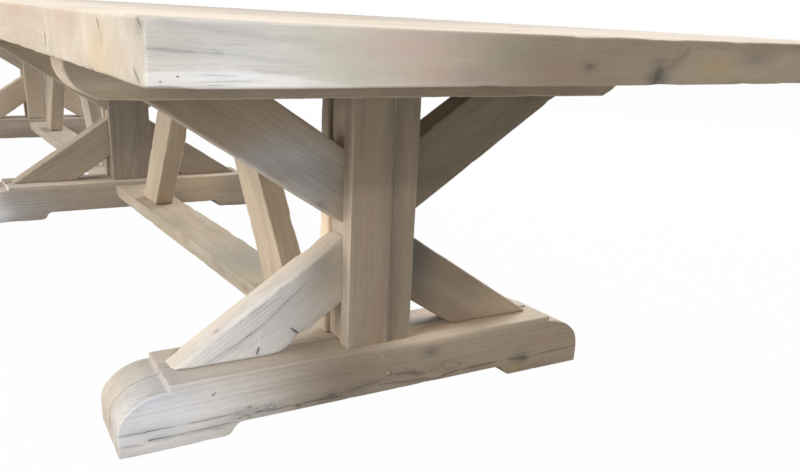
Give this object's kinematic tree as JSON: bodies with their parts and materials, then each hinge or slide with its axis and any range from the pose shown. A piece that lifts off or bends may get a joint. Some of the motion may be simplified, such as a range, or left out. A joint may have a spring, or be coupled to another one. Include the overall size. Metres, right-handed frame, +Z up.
{
  "type": "sawbuck table",
  "caption": "Long weathered timber dining table: a thick plank top on sawbuck trestles, joined by low stretchers with leaning struts.",
  "frame": {"origin": "on the floor, under the middle of the table", "axes": "+X along the table, from the left trestle to the right one; +Y across it, to the back; +Z up"},
  "size_m": [5.208, 1.26, 0.76],
  "materials": {
    "top_wood": "bleached and weathered, bare",
    "trestle_wood": "bleached and weathered, bare",
    "rail_wood": "bleached and weathered, bare",
    "peg_wood": "plain turned dowel",
    "screw_steel": "plain zinc-coated"
  },
  "bodies": {
    "root": {"left_bearer_inner_plank": "trestle_wood", "left_bearer_outer_plank": "trestle_wood", "left_breadboard": "top_wood", "left_foot_inner_plank": "trestle_wood", "left_foot_outer_plank": "trestle_wood", "left_foot_pegs": "peg_wood", "left_inner_strut": "rail_wood", "left_lower_back_brace": "trestle_wood", "left_lower_front_brace": "trestle_wood", "left_outer_strut": "rail_wood", "left_post_core": "trestle_wood", "left_post_inner_narrow_facing": "trestle_wood", "left_post_inner_wide_facing": "trestle_wood", "left_post_outer_narrow_facing": "trestle_wood", "left_post_outer_wide_facing": "trestle_wood", "left_stretcher": "rail_wood", "left_upper_back_brace": "trestle_wood", "left_upper_front_brace": "trestle_wood", "middle_bearer_left_plank": "trestle_wood", "middle_bearer_right_plank": "trestle_wood", "middle_foot_left_plank": "trestle_wood", "middle_foot_pegs": "peg_wood", "middle_foot_right_plank": "trestle_wood", "middle_lower_back_brace": "trestle_wood", "middle_lower_front_brace": "trestle_wood", "middle_post_core": "trestle_wood", "middle_post_left_narrow_facing": "trestle_wood", "middle_post_left_wide_facing": "trestle_wood", "middle_post_right_narrow_facing": "trestle_wood", "middle_post_right_wide_facing": "trestle_wood", "middle_upper_back_brace": "trestle_wood", "middle_upper_front_brace": "trestle_wood", "right_bearer_inner_plank": "trestle_wood", "right_bearer_outer_plank": "trestle_wood", "right_breadboard": "top_wood", "right_foot_inner_plank": "trestle_wood", "right_foot_outer_plank": "trestle_wood", "right_foot_pegs": "peg_wood", "right_inner_strut": "rail_wood", "right_lower_back_brace": "trestle_wood", "right_lower_front_brace": "trestle_wood", "right_outer_strut": "rail_wood", "right_post_core": "trestle_wood", "right_post_inner_narrow_facing": "trestle_wood", "right_post_inner_wide_facing": "trestle_wood", "right_post_outer_narrow_facing": "trestle_wood", "right_post_outer_wide_facing": "trestle_wood", "right_stretcher": "rail_wood", "right_upper_back_brace": "trestle_wood", "right_upper_front_brace": "trestle_wood", "top_plank_1": "top_wood", "top_plank_2": "top_wood", "top_plank_3": "top_wood", "top_plank_4": "top_wood", "top_plank_5": "top_wood", "top_screws": "screw_steel", "top_splines": "peg_wood"}
  },
  "joints": []
}
